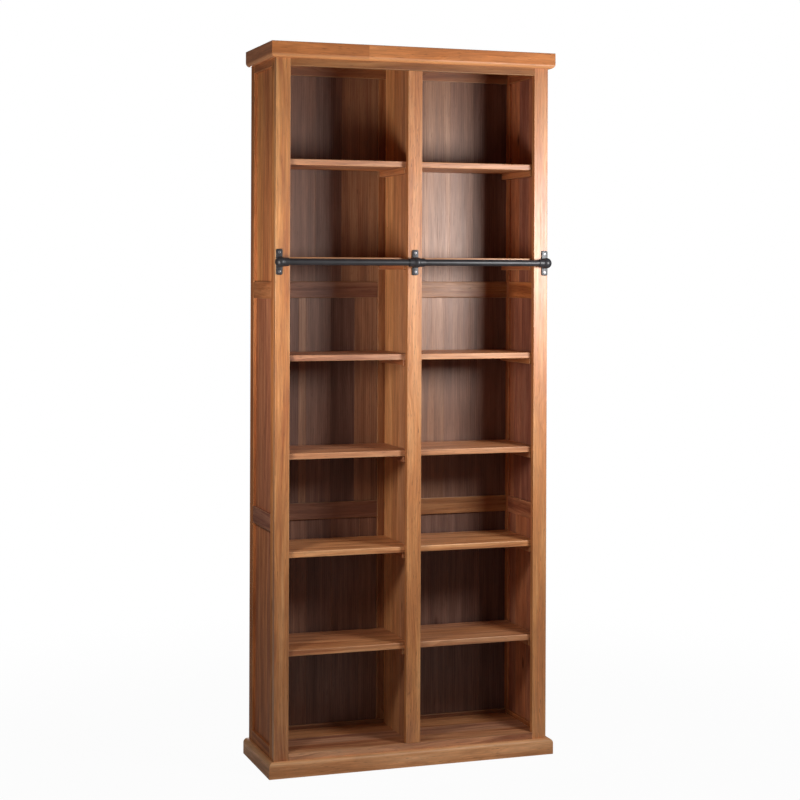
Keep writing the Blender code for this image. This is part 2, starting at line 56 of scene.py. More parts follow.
Tree = bpy.types.NodeTree
Node = bpy.types.Node
Socket = bpy.types.NodeSocket
Material = bpy.types.Material
Triple = tuple[float, float, float]
Colour = tuple[float, float, float, float]
# Joint after each board of a panel, and the board's tone.
Boards = tuple[tuple[float, float], ...]
log = logging.getLogger("bookcase")

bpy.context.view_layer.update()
BODY = "carcase"
MM = 0.001
SHARP_DEG = 32.0
WHITE = "FFFFFF"


class Axis(Enum):
    """A world direction: the length of a board or the way its grain runs."""

    X = 0
    Y = 1
    Z = 2

    def others(self) -> tuple[int, int]:
        """Return the two further axes, in right-handed order."""
        return (self.value + 1) % 3, (self.value + 2) % 3


class Hand(Enum):
    """Left or right half of the bookcase, as its sign along X."""

    LEFT = -1
    RIGHT = 1

    @property
    def word(self) -> str:
        """Return the word used in piece names."""
        return self.name.lower()


class Slot(Enum):
    """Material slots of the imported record."""

    FRAME = "acacia_frame"
    PANEL = "acacia_panel"
    SHELF = "acacia_shelf"
    MOULDING = "acacia_moulding"
    IRON = "black_iron"


@dataclass(frozen=True)
class Joinery:
    """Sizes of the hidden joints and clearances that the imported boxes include, in metres."""

    gap: float = 0.0003
    groove: float = 0.008
    face_tongue: float = 0.006
    tenon: float = 0.020
    dado: float = 0.006
    panel_reach: float = 0.007
    batten_wide: float = 0.022
    batten_tall: float = 0.0184
    batten_inset: float = 0.0065

    @property
    def rail_tongue(self) -> float:
        """Length of the tongue at each end of a side or back rail."""
        return self.groove - 2 * self.gap


JOINERY = Joinery()


# Colours and nodes


def linear(hex_colour: str) -> Colour:
    """Turn an sRGB hex colour into linear light.

    Args:
        hex_colour: six hex digits.

    Returns:
        Linear red, green and blue, with an alpha of one.
    """
    parts = [int(hex_colour[i:i + 2], 16) / 255 for i in (0, 2, 4)]
    light = [c / 12.92 if c <= 0.04045 else ((c + 0.055) / 1.055) ** 2.4 for c in parts]
    return light[0], light[1], light[2], 1.0


def feed(tree: Tree, node: Node, inputs: dict[int | str, object]) -> None:
    """Feed a node's inputs.

    Args:
        tree: the node's tree.
        node: the node.
        inputs: what each input gets: a socket is linked, and anything else is set as a fixed value.
    """
    for key, value in inputs.items():
        if isinstance(value, Socket):
            tree.links.new(value, node.inputs[key])
        else:
            node.inputs[key].default_value = value


def add(
    tree: Tree,
    kind: str,
    settings: dict[str, object] | None = None,
    inputs: dict[int | str, object] | None = None,
) -> Node:
    """Add one node to a tree.

    Args:
        tree: the node tree.
        kind: Blender's name of the node, without its prefix.
        settings: the node's own options.
        inputs: sockets and fixed values for its inputs.

    Returns:
        The new node.
    """
    made = tree.nodes.new(f"ShaderNode{kind}")
    for name, value in (settings or {}).items():
        setattr(made, name, value)
    feed(tree, made, inputs or {})
    return made


def calc(tree: Tree, operation: str, *inputs: Socket | float) -> Socket:
    """Return the outcome of one sum on numbers."""
    return add(tree, "Math", {"operation": operation}, dict(enumerate(inputs))).outputs[0]


def vector_calc(tree: Tree, operation: str, *inputs: Socket | Triple) -> Socket:
    """Return the outcome of one sum on vectors."""
    return add(tree, "VectorMath", {"operation": operation}, dict(enumerate(inputs))).outputs[0]


def ranged(tree: Tree, value: Socket, *ends: float, smooth: bool = False) -> Socket:
    """Carry a value from two ends to two others, nought and one if left out, and hold it beyond them."""
    settings = {"interpolation_type": "SMOOTHSTEP" if smooth else "LINEAR"}
    return add(tree, "MapRange", settings, dict(enumerate((value, *ends)))).outputs[0]


def blended(tree: Tree, share: Socket, first: Socket | Colour, second: Socket | Colour) -> Socket:
    """Return the first colour with a share of the second."""
    return add(tree, "Mix", {"data_type": "RGBA"}, {0: share, 6: first, 7: second}).outputs[2]


def noise(tree: Tree, place: Socket, **inputs: float) -> Node:
    """Add a noise texture; its further inputs are given by name, in small letters."""
    named = {name.title(): value for name, value in inputs.items()}
    return add(tree, "TexNoise", {}, {"Vector": place} | named)


def wave_scale(apart_mm: float) -> float:
    """Return the wave texture's scale for lines this far apart: its period is pi / 10 over its scale."""
    return math.pi / 10 / (apart_mm * MM)


def new_material(name: str) -> tuple[Material, Tree, Node]:
    """Start a node material.

    Args:
        name: the material's name.

    Returns:
        The material, its tree and its Principled shader.
    """
    material = bpy.data.materials.new(name)
    material.use_nodes = True
    tree = material.node_tree
    return material, tree, tree.nodes["Principled BSDF"]


# Finishes


@dataclass(frozen=True)
class Acacia:
    """Planed acacia under a thin satin lacquer.

    The boards are sawn from quick-grown logs: soft honey and brown streaks, growth rings some
    millimetres wide with a darker late edge, clouded figure, fine fibre, short dark flecks and an
    odd knot that the rings bend round. The lacquer is sprayed thin, so it glares softly.
    """

    name: str
    slot: Slot
    pale: str = "D09364"
    honey: str = "BD7A4C"
    brown: str = "A3623D"
    late: str = "774024"
    knot: str = "4A2614"
    # Arris colour: paler where the edges are rubbed, and partly a painted highlight along the rounded edges.
    worn: str = "E2B684"
    ring_mm: float = 11.0
    ring_sharpness: float = 2.0
    streak_mm: float = 24.0
    cloud_mm: float = 26.0
    fibre_mm: float = 2.6
    # Real pores are 0.2 mm wide and would not show, so they are drawn ten times as coarse.
    fleck_mm: float = 2.0
    streak_long_mm: float = 420.0
    cloud_long_mm: float = 70.0
    fibre_long_mm: float = 70.0
    fleck_long_mm: float = 30.0
    bend_mm: float = 26.0
    late_share: float = 0.26
    cloud_share: float = 0.10
    fibre_share: float = 0.22
    fleck_share: float = 0.40
    knot_share: float = 0.24
    roughness: float = 0.44
    specular: float = 0.75
    sheen: str = WHITE
    sheen_loss: float = 0.5
    # What a tone of one does to a board's value and hue, and a tone of minus one to its other traits.
    tone_value: float = 0.42
    tone_hue: float = 0.012
    deep_saturation: float = 0.78
    deep_sheen: float = 0.55
    rub_share: float = 0.30
    knot_long_mm: float = 200.0
    knot_apart_mm: float = 70.0
    knot_pull: float = 11.0

    def stretch(self, long_mm: float, wide_mm: float) -> Triple:
        """Return the scale that makes one noise cell this long and wide."""
        return 1 / (long_mm * MM), 1 / (wide_mm * MM), 1 / (wide_mm * MM)

    def rings(self, tree: Tree, grain: Socket) -> tuple[Socket, Socket, Socket]:
        """Draw growth rings about the grain line, bent by slow drift and by knots.

        Args:
            tree: the material's tree.
            grain: the board's own coordinates, length first.

        Returns:
            The bent coordinates, the late wood of each ring and the dark hearts of knots.
        """
        # The drift turns over some 0.7 m along the grain and 0.12 m across it.
        slow = vector_calc(tree, "MULTIPLY", grain, (1.5, 8.0, 8.0))
        drift = noise(tree, slow, scale=1.0, detail=2.0).outputs["Color"]
        even = vector_calc(tree, "SUBTRACT", drift, (0.5, 0.5, 0.5))
        swing_size = 2 * self.bend_mm * MM
        swing = vector_calc(tree, "MULTIPLY", even, (0.0, swing_size, swing_size))
        bent = vector_calc(tree, "ADD", grain, swing)

        # Only a share of the knot cells holds a knot.
        cells = vector_calc(tree, "MULTIPLY", bent, self.stretch(self.knot_long_mm, self.knot_apart_mm))
        knots = add(tree, "TexVoronoi", {}, {"Vector": cells, "Scale": 1.0})
        lot = add(tree, "SeparateColor", {}, {0: knots.outputs["Color"]}).outputs[0]
        held = calc(tree, "LESS_THAN", lot, self.knot_share)
        near = ranged(tree, knots.outputs["Distance"], 0.03, 0.45, 1.0, 0.0, smooth=True)
        heart = ranged(tree, knots.outputs["Distance"], 0.02, 0.16, 0.8, 0.0, smooth=True)
        pull = calc(tree, "MULTIPLY", near, held)
        core = calc(tree, "MULTIPLY", heart, held)
        phase = calc(tree, "MULTIPLY", pull, self.knot_pull)

        # The length is squeezed so that rings run long.
        squeezed = vector_calc(tree, "MULTIPLY", bent, (0.05, 1.0, 1.0))
        wave = add(
            tree, "TexWave", {"wave_type": "RINGS", "rings_direction": "X", "wave_profile": "SAW"},
            {
                "Vector": squeezed, "Scale": wave_scale(self.ring_mm), "Phase Offset": phase,
                "Distortion": 3.2, "Detail": 2.0, "Detail Scale": 1.0,
            },
        )
        return bent, calc(tree, "POWER", wave.outputs["Fac"], self.ring_sharpness), core

    def noises(self, tree: Tree, bent: Socket) -> list[Socket]:
        """Draw the noises that run along the grain.

        Args:
            tree: the material's tree.
            bent: the bent coordinates.

        Returns:
            Streak, cloud, fibre and fleck noise.
        """
        sizes = (
            (self.streak_long_mm, self.streak_mm, 3.0),
            (self.cloud_long_mm, self.cloud_mm, 2.0),
            (self.fibre_long_mm, self.fibre_mm, 4.0),
            (self.fleck_long_mm, self.fleck_mm, 1.0),
        )
        drawn = []
        for long, wide, detail in sizes:
            cells = vector_calc(tree, "MULTIPLY", bent, self.stretch(long, wide))
            drawn.append(noise(tree, cells, scale=1.0, detail=detail, roughness=0.6).outputs["Fac"])
        return drawn

    def build(self) -> Material:
        """Make the material.

        Returns:
            The finished material.
        """
        material, tree, shader = new_material(self.name)
        grain = add(tree, "Attribute", {"attribute_name": "grain"}).outputs["Vector"]
        tone = add(tree, "Attribute", {"attribute_name": "tone"}).outputs["Fac"]
        wear = add(tree, "Attribute", {"attribute_name": "wear"}).outputs["Fac"]
        bent, rings, core = self.rings(tree, grain)
        streak, cloud, fibre, fleck_noise = self.noises(tree, bent)

        # Streaks run from brown through honey to pale.
        warm = ranged(tree, streak, 0.34, 0.54)
        light = ranged(tree, streak, 0.52, 0.74)
        body = blended(tree, warm, linear(self.brown), linear(self.honey))
        body = blended(tree, light, body, linear(self.pale))
        # Rings fade in and out across the board with the clouds.
        faded = ranged(tree, cloud, 0.38, 0.62, 0.15, 1.0)
        late = calc(tree, "MULTIPLY", rings, faded)
        body = blended(tree, calc(tree, "MULTIPLY", late, self.late_share), body, linear(self.late))
        # Clouds and fibre lighten and darken a little, and flecks are short dark strokes.
        shade = ranged(tree, fibre, 0.25, 0.75, 1 - self.fibre_share, 1 + self.fibre_share)
        figure = ranged(tree, cloud, 0.3, 0.7, 1 - self.cloud_share, 1 + self.cloud_share)
        fleck = ranged(tree, fleck_noise, 0.64, 0.74)
        flecked = calc(tree, "MULTIPLY_ADD", fleck, -self.fleck_share, 1.0)
        shade = calc(tree, "MULTIPLY", calc(tree, "MULTIPLY", shade, figure), flecked)
        shaded = add(tree, "VectorMath", {"operation": "SCALE"}, {0: body, "Scale": shade}).outputs[0]
        hearted = blended(tree, core, shaded, linear(self.knot))
        # Each board has its own tone: above nought is paler and yellower, below is deeper and redder. Some
        # tones also carry painted shade and painted light, set where the boards are made.
        turn = {
            "Hue": calc(tree, "MULTIPLY_ADD", tone, self.tone_hue, 0.5),
            "Saturation": ranged(tree, tone, -1.0, 0.0, self.deep_saturation, 1.0),
            "Value": calc(tree, "MULTIPLY_ADD", tone, self.tone_value, 1.0),
        }
        toned = add(tree, "HueSaturation", {}, turn | {"Color": hearted}).outputs[0]
        # The rounded arrises are paler: partly rubbed wear, partly a painted highlight.
        rub_and_highlight = calc(tree, "MULTIPLY", wear, self.rub_share)

        # The open pores of the late wood drink the lacquer, so the sheen breaks into lines there.
        sheen = calc(tree, "MULTIPLY_ADD", late, -self.sheen_loss * self.specular, self.specular)
        # Darker boards are drier and shine less.
        dry = ranged(tree, tone, -1.0, 0.0, self.deep_sheen, 1.0)
        relief = calc(tree, "MULTIPLY_ADD", fleck, -0.5, fibre)
        relief = calc(tree, "MULTIPLY_ADD", late, -0.35, relief)
        bump = add(tree, "Bump", {}, {"Strength": 0.18, "Distance": 0.4 * MM, "Height": relief})
        feed(tree, shader, {
            "Base Color": blended(tree, rub_and_highlight, toned, linear(self.worn)),
            "Roughness": ranged(tree, fibre, 0.2, 0.8, self.roughness + 0.06, self.roughness - 0.06),
            "IOR": 1.5,
            "Specular IOR Level": calc(tree, "MULTIPLY", sheen, dry),
            "Specular Tint": linear(self.sheen),
            "Normal": bump.outputs[0],
        })
        return material


@dataclass(frozen=True)
class BlackIron:
    """Cast and drawn iron under satin black paint: near black, a soft sheen, a faint cast skin."""

    name: str = "satin_black_iron"
    slot: Slot = Slot.IRON
    deep: str = "1D1D20"
    worn: str = "333236"
    skin_mm: float = 3.0
    cloud_mm: float = 40.0
    roughness: float = 0.42

    def build(self) -> Material:
        """Make the material.

        Returns:
            The finished material.
        """
        material, tree, shader = new_material(self.name)
        place = add(tree, "TexCoord").outputs["Object"]
        skin = noise(tree, place, scale=1 / (self.skin_mm * MM), detail=3.0).outputs["Fac"]
        cloud = noise(tree, place, scale=1 / (self.cloud_mm * MM), detail=2.0).outputs["Fac"]
        bump = add(tree, "Bump", {}, {"Strength": 0.12, "Distance": 0.15 * MM, "Height": skin})
        feed(tree, shader, {
            "Base Color": blended(tree, cloud, linear(self.deep), linear(self.worn)),
            "Roughness": ranged(tree, skin, 0.0, 1.0, self.roughness - 0.08, self.roughness + 0.08),
            "Normal": bump.outputs[0],
        })
        return material


@dataclass(frozen=True)
class PlatedSteel:
    """Turned steel with a thin plating: bright, with turning lines across the length."""

    name: str
    colour: str
    roughness: float
    slot: Slot = Slot.IRON
    # Turning lines are a tenth of a millimetre apart and are drawn six times as coarse.
    line_mm: float = 0.6

    def build(self) -> Material:
        """Make the material.

        Returns:
            The finished material.
        """
        material, tree, shader = new_material(self.name)
        place = add(tree, "TexCoord").outputs["Object"]
        scale = wave_scale(self.line_mm)
        lines = add(
            tree, "TexWave", {"bands_direction": "X"}, {"Vector": place, "Scale": scale, "Distortion": 0.6},
        ).outputs["Fac"]
        feed(tree, shader, {
            "Base Color": linear(self.colour),
            "Metallic": 1.0,
            "Roughness": ranged(tree, lines, 0.0, 1.0, self.roughness - 0.05, self.roughness + 0.07),
        })
        return material


Finish = Acacia | BlackIron | PlatedSteel


# Surfaces


@dataclass
class Shell:
    """One closed surface with what its finish reads at each point."""

    points: Array
    faces: list[list[int]]
    normals: Array | None = None
    grain: Array | None = None
    tone: Array | None = None
    wear: Array | None = None


@dataclass
class Outline:
    """A closed outline, anticlockwise, with its outward normals and how far each point lies on an arris."""

    points: Array
    normals: Array
    wear: Array
    tightest: float


@dataclass(frozen=True)
class Cut:
    """The plane that ends a carried outline: a place along the line, and how it leans with the outline."""

    level: float
    lean: tuple[float, float] = (0.0, 0.0)

    def along(self, section: Array) -> Array:
        """Return the place along the line for each outline point."""
        return self.level + section[..., 0] * self.lean[0] + section[..., 1] * self.lean[1]


def rounded_outline(corners: Array, radii: Array, steps: int = 3) -> Outline:
    """Round the corners of a polygon.

    Each corner becomes an arc that touches both its edges: it starts a tangent length, radius times the
    tangent of half the turn, before the corner, and its normal swings from one edge's normal to the next.

    Args:
        corners: polygon corners, one row each.
        radii: radius at each corner.
        steps: arc steps at each corner.

    Returns:
        The rounded outline, anticlockwise.
    """
    following = np.roll(corners, -1, axis=0)
    doubled_area = np.sum(corners[:, 0] * following[:, 1] - following[:, 0] * corners[:, 1])
    if doubled_area < 0:
        corners = corners[::-1]
        radii = radii[::-1]
    leaving = np.roll(corners, -1, axis=0) - corners
    leaving /= np.linalg.norm(leaving, axis=1, keepdims=True)
    coming = np.roll(leaving, 1, axis=0)
    turn = np.arctan2(
        coming[:, 0] * leaving[:, 1] - coming[:, 1] * leaving[:, 0], np.sum(coming * leaving, axis=1),
    )
    bulge = np.sign(turn)[:, None, None]
    share = np.linspace(0, 1, steps + 1)
    angle = np.arctan2(-coming[:, 0], coming[:, 1])[:, None] + turn[:, None] * share
    normals = np.stack([np.cos(angle), np.sin(angle)], axis=-1)
    first = corners - coming * (radii * np.tan(np.abs(turn) / 2))[:, None]
    points = first[:, None] + bulge * radii[:, None, None] * (normals - normals[:, :1])
    # Each point's share of the paler arris, rubbed and partly a painted highlight.
    wear = np.sin(np.pi * share)[None] * (bulge[:, :, 0] > 0)
    return Outline(points.reshape(-1, 2), normals.reshape(-1, 2), wear.ravel(), float(radii.min()))


def grid_faces(rings: int, around: int, wrapped: bool) -> list[list[int]]:
    """List the faces of a grid that closes round each ring.

    Args:
        rings: number of rings.
        around: points in a ring.
        wrapped: whether the last ring joins the first; if not, both ends are capped.

    Returns:
        Corner numbers of each face.
    """
    row = np.arange(rings if wrapped else rings - 1)[:, None]
    column = np.arange(around)[None]
    next_row = (row + 1) % rings
    next_column = (column + 1) % around
    corners = [
        row * around + column, row * around + next_column,
        next_row * around + next_column, next_row * around + column,
    ]
    faces = np.stack(corners, axis=-1).reshape(-1, 4).tolist()
    if not wrapped:
        faces.append(list(range(around))[::-1])
        faces.append(list(range((rings - 1) * around, rings * around)))
    return faces


def carried(
    outline: Outline, axis: Axis, start: Cut, end: Cut, ease: float | None = None, steps: int = 3,
) -> Shell:
    """Carry an outline along a straight line and ease its two ends.

    At an end the outline is drawn in by ease times one less the cosine of an angle, and set back by ease
    times one less its sine, as the angle turns from a right angle to nought.

    Args:
        outline: the outline, in the axes after the line's own.
        axis: the line.
        start: plane at the low end.
        end: plane at the high end.
        ease: radius of the end arrises; most of the outline's tightest radius if left out.
        steps: arc steps at each end.

    Returns:
        The closed surface.
    """
    radius = 0.8 * outline.tightest if ease is None else ease
    angle = np.linspace(np.pi / 2, 0, steps + 1)
    inset = radius * (1 - np.cos(angle))
    back = radius * (1 - np.sin(angle))
    low = outline.points[None] - inset[:, None, None] * outline.normals[None]
    high = low[::-1]
    along = np.concatenate([start.along(low) + back[:, None], end.along(high) - back[::-1, None]])
    section = np.concatenate([low, high])
    lean = np.concatenate([-np.sin(angle), np.sin(angle[::-1])])
    spread = np.sqrt(1 - lean ** 2)
    b, c = axis.others()
    points = np.empty(section.shape[:2] + (3,))
    points[..., axis.value] = along
    points[..., b] = section[..., 0]
    points[..., c] = section[..., 1]
    normals = np.empty_like(points)
    normals[..., axis.value] = lean[:, None]
    normals[..., b] = spread[:, None] * outline.normals[None, :, 0]
    normals[..., c] = spread[:, None] * outline.normals[None, :, 1]
    end_wear_and_highlight = np.concatenate([np.sin(2 * angle), np.sin(2 * angle[::-1])])
    wear = np.maximum(outline.wear[None], end_wear_and_highlight[:, None])
    faces = grid_faces(points.shape[0], points.shape[1], wrapped=False)
    return Shell(points.reshape(-1, 3), faces, normals.reshape(-1, 3), wear=wear.ravel())


def turned(profile: Array, centre: tuple[float, float], around: int, wrapped: bool) -> Shell:
    """Turn a profile about a line along X: each point's radius sweeps a full circle.

    Args:
        profile: rows of place along X and radius.
        centre: the line's Y and Z.
        around: points in a circle.
        wrapped: whether the profile closes on itself; if not, both ends are capped.

    Returns:
        The closed surface.
    """
    angle = np.linspace(0, 2 * np.pi, around, endpoint=False)
    points = np.empty((len(profile), around, 3))
    points[..., 0] = profile[:, :1]
    points[..., 1] = centre[0] + profile[:, 1:] * np.cos(angle)
    points[..., 2] = centre[1] + profile[:, 1:] * np.sin(angle)
    return Shell(points.reshape(-1, 3), grid_faces(len(profile), around, wrapped))


def put(
    name: str, shells: list[Shell], finish: Finish, body: str = BODY, nodes: tuple[str, ...] = (),
) -> bpy.types.Object:
    """Put surfaces into the scene as one piece.

    Args:
        name: the piece's name.
        shells: its surfaces.
        finish: its finish.
        body: the body that it rides on.
        nodes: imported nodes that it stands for.

    Returns:
        The new object.
    """
    def joined(trait: str) -> Array:
        """Return one trait of all the surfaces, end to end."""
        return np.concatenate([getattr(shell, trait) for shell in shells])

    offsets = np.cumsum([0] + [len(shell.points) for shell in shells[:-1]])
    faces = [[int(o) + i for i in face] for o, shell in zip(offsets, shells) for face in shell.faces]
    mesh = bpy.data.meshes.new(name)
    mesh.from_pydata(joined("points").tolist(), [], faces)
    mesh.polygons.foreach_set("use_smooth", np.ones(len(mesh.polygons), dtype=bool))
    if all(shell.grain is not None for shell in shells):
        grain = mesh.attributes.new("grain", "FLOAT_VECTOR", "POINT")
        grain.data.foreach_set("vector", joined("grain").ravel())
        for trait in ("tone", "wear"):
            mesh.attributes.new(trait, "FLOAT", "POINT").data.foreach_set("value", joined(trait))
    if all(shell.normals is not None for shell in shells):
        mesh.normals_split_custom_set_from_vertices(joined("normals").tolist())
    else:
        mesh.set_sharp_from_angle(angle=math.radians(SHARP_DEG))
    mesh.materials.append(MATERIALS[finish.name])
    piece = bpy.data.objects.new(name, mesh)
    bpy.context.scene.collection.objects.link(piece)
    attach(piece, body)
    if nodes:
        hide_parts(*nodes)
    log.info("%s: %d faces on %s", name, len(faces), body)
    return piece


# Timber


@dataclass
class Timber:
    """The stack of boards that the pieces are cut from: it gives each board its own stretch of log."""

    seed: int = 23
    arris: float = 0.0018
    glue_line: float = 0.0004
    draws: np.random.Generator = field(init=False)

    def __post_init__(self) -> None:
        """Start the draws."""
        self.draws = np.random.default_rng(self.seed)

    def with_grain(
        self, shell: Shell, grain: Axis, tone: float, spread: float = 0.12, quartered: Axis | None = None,
        fade: float = 0.0,
    ) -> Shell:
        """Give a surface the coordinates of a board sawn at random from a log.

        The length starts anywhere in the log. The heart lies beside and behind a flat-sawn board, and far
        off to one side of a quarter-sawn one, whose rings then show as straight lines.

        Args:
            shell: the surface.
            grain: direction of its grain.
            tone: its middle tone.
            spread: how far its tone may stray.
            quartered: direction of its width if it is quarter-sawn.
            fade: how much paler its high end is than its low end.

        Returns:
            The same surface.
        """
        b, c = grain.others()
        middle = 0.5 * (shell.points.min(axis=0) + shell.points.max(axis=0))
        local = (shell.points - middle)[:, [grain.value, b, c]]
        side = self.draws.choice([-1.0, 1.0], size=2)
        heart = side * self.draws.uniform([0.02, 0.015], [0.10, 0.075])
        if quartered is not None:
            way = (b, c).index(quartered.value)
            heart[way] = side[way] * (0.2 + 4 * abs(heart[way]))
        shift = np.array([self.draws.uniform(0, 40), heart[0], heart[1]])
        shell.grain = local + shift
        shell.tone = tone + self.draws.normal(0, spread) + fade * local[:, 0] / np.ptp(local[:, 0])
        return shell

    def board(
        self, low: Array, high: Array, grain: Axis, tone: float = 0.0, radii: Array | None = None,
        quartered: Axis | None = None, fade: float = 0.0,
    ) -> Shell:
        """Make one board: a rounded rectangle carried along its grain.

        Args:
            low: lowest corner.
            high: highest corner.
            grain: direction of its length.
            tone: its middle tone.
            radii: arris radius at each corner of the section; all the same if left out.
            quartered: direction of its width if it is quarter-sawn.
            fade: how much paler its high end is than its low end.

        Returns:
            The board's surface.
        """
        b, c = grain.others()
        corners = np.array([[low[b], low[c]], [high[b], low[c]], [high[b], high[c]], [low[b], high[c]]])
        outline = rounded_outline(corners, np.full(4, self.arris) if radii is None else radii)
        shell = carried(outline, grain, Cut(low[grain.value]), Cut(high[grain.value]))
        return self.with_grain(shell, grain, tone, quartered=quartered, fade=fade)

    def glued(
        self, low: Array, high: Array, grain: Axis, across: Axis, tone: float, spread: float,
        widest: float = 0.105, narrowest: float = 0.045, arris: float | None = None,
        quartered: bool = False, chosen: Boards = (),
    ) -> list[Shell]:
        """Make a panel of boards glued edge to edge.

        Args:
            low: lowest corner.
            high: highest corner.
            grain: direction of the boards.
            across: direction in which they lie side by side.
            tone: middle tone.
            spread: how far the boards' tones stray from it.
            widest: widest board.
            narrowest: narrowest board.
            arris: radius along the panel's two outer edges; the glue line's if left out.
            quartered: whether the boards are quarter-sawn.
            chosen: joint after each board and the board's tone, where known; the last joint is the end.

        Returns:
            The boards' surfaces.
        """
        total = float(high[across.value] - low[across.value])
        count = max(1, round(total / self.draws.uniform(narrowest, widest)))
        shares = self.draws.uniform(narrowest, widest, count)
        edges = low[across.value] + total * np.concatenate([[0.0], np.cumsum(shares) / shares.sum()])
        tones = tone + self.draws.normal(0, spread, count)
        if chosen:
            count = len(chosen)
            edges = np.array([low[across.value], *(joint for joint, _ in chosen[:-1]), high[across.value]])
            tones = np.array([own for _, own in chosen])
        b, _ = grain.others()
        outer = self.glue_line if arris is None else arris
        boards = []
        for number in range(count):
            near, far = low.copy(), high.copy()
            near[across.value], far[across.value] = edges[number], edges[number + 1]
            first = outer if number == 0 else self.glue_line
            last = outer if number == count - 1 else self.glue_line
            radii = [first, last, last, first] if across.value == b else [first, first, last, last]
            width = across if quartered else None
            boards.append(self.board(near, far, grain, tones[number], np.array(radii), width))
        return boards


TIMBER = Timber()

FRAME_WOOD = Acacia("acacia_face_frame", Slot.FRAME, brown="B36D45", specular=0.85)
GOLDEN_WOOD = Acacia(
    "acacia_left_stile", Slot.FRAME, pale="D19765", honey="BE7F4D", brown="A06039", late="774426",
    knot_share=0.08, deep_saturation=1.3,
)
CENTRE_WOOD = Acacia(
    "acacia_centre_stile", Slot.FRAME, ring_mm=9.0, bend_mm=34.0, knot_share=0.45, late_share=0.34,
    fleck_share=0.55, specular=0.62,
)
RAIL_WOOD = Acacia(
    "acacia_back_frame", Slot.FRAME, pale="A87850", honey="96623B", brown="7C4A2B", late="582D18",
    late_share=0.36, specular=0.5,
)
SIDE_FRAME_WOOD = Acacia(
    "acacia_side_frame", Slot.FRAME, pale="D58F5C", honey="BC7443", brown="975530", late="6A361E",
    roughness=0.6, specular=0.25,
)
PANEL_WOOD = Acacia(
    "acacia_back_panels", Slot.PANEL, pale="956D54", honey="825A43", brown="6D4835", late="40291F",
    ring_mm=6.5, ring_sharpness=3.0, streak_mm=20.0, cloud_mm=22.0, cloud_long_mm=500.0, bend_mm=6.0,
    knot_share=0.04, late_share=0.30, cloud_share=0.10, specular=1.0, sheen="FFE9DD", sheen_loss=0.7,
)
SIDE_WOOD = Acacia(
    "acacia_side_panels", Slot.PANEL, pale="DF9863", honey="CC8151", brown="B26C43", late="5C2D19",
    ring_mm=11.0, bend_mm=24.0, streak_mm=34.0, cloud_long_mm=160.0, knot_share=0.3, late_share=0.17,
    cloud_share=0.15, fibre_share=0.26, roughness=0.62, specular=0.22, deep_saturation=0.86,
)
PARTITION_WOOD = Acacia(
    "acacia_partition", Slot.PANEL, pale="DBA576", honey="CC8F5F", brown="B1764E", late="784126",
    ring_mm=14.0, bend_mm=20.0, cloud_long_mm=200.0, knot_share=0.2, late_share=0.24, specular=0.5,
)
SHELF_WOOD = Acacia(
    "acacia_shelves", Slot.SHELF, pale="E1A878", honey="CF8E5D", brown="A4643D", late="6E3920",
    ring_mm=13.0, cloud_long_mm=160.0, knot_share=0.15, late_share=0.5,
)
MOULDING_WOOD = Acacia(
    "acacia_mouldings", Slot.MOULDING, pale="DF9259", honey="CC7F48", brown="B77040", late="884522",
    knot_share=0.12, specular=0.4,
)
PLINTH_WOOD = Acacia(
    "acacia_plinth", Slot.MOULDING, pale="EDB384", honey="DB9C6B", brown="BE8053", late="8E4E2B",
    knot_share=0.12, specular=0.4,
)
IRON = BlackIron()
SCREW_STEEL = PlatedSteel("zinc_plated_screw_steel", "8A888B", 0.38)
FINISHES: tuple[Finish, ...] = (
    FRAME_WOOD, GOLDEN_WOOD, CENTRE_WOOD, RAIL_WOOD, SIDE_FRAME_WOOD, PANEL_WOOD, SIDE_WOOD, PARTITION_WOOD,
    SHELF_WOOD, MOULDING_WOOD, PLINTH_WOOD, IRON, SCREW_STEEL,
)
MATERIALS: dict[str, Material] = {finish.name: finish.build() for finish in FINISHES}


def node_box(
    node: str, trim_low: Triple = (0.0, 0.0, 0.0), trim_high: Triple = (0.0, 0.0, 0.0),
) -> tuple[Array, Array]:
    """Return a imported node's box without the tongues, tenons or battens that stand out of it.

    Args:
        node: the node's name.
        trim_low: how much comes off its low faces.
        trim_high: how much comes off its high faces.

    Returns:
        Lowest and highest corner.
    """
    low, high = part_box(node)
    return np.array(low) + trim_low, np.array(high) - trim_high


def dress(
    node: str, grain: Axis, tone: float, wood: Acacia, trim: Triple = (0.0, 0.0, 0.0), fade: float = 0.0,
) -> None:
    """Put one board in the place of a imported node.

    Args:
        node: the node's name.
        grain: direction of the board's length.
        tone: its middle tone.
        wood: its finish.
        trim: how much comes off the box at both ends.
        fade: how much paler its high end is than its low end.
    """
    low, high = node_box(node, trim, trim)
    put(f"{node}_board", [TIMBER.board(low, high, grain, tone, fade=fade)], wood, nodes=(node,))


# Sub-assemblies


@dataclass
class FaceFrame:
    """The two outer stiles and the top rail that frame the open front."""

    # The left stile is deeper at its foot, the right one at its head.
    stile_tones: dict[Hand, float] = field(default_factory=lambda: {Hand.LEFT: 0.14, Hand.RIGHT: 0.30})
    stile_fades: dict[Hand, float] = field(default_factory=lambda: {Hand.LEFT: 0.5, Hand.RIGHT: -0.6})
    rail_tone: float = 0.48

    def build(self) -> None:
        """Make and dress the stiles and the rail."""
        for hand, wood in ((Hand.LEFT, GOLDEN_WOOD), (Hand.RIGHT, FRAME_WOOD)):
            node = f"face_stile_{hand.word}"
            dress(node, Axis.Z, self.stile_tones[hand], wood, fade=self.stile_fades[hand])
        dress("face_top_rail", Axis.X, self.rail_tone, RAIL_WOOD, trim=(JOINERY.tenon, 0.0, 0.0))


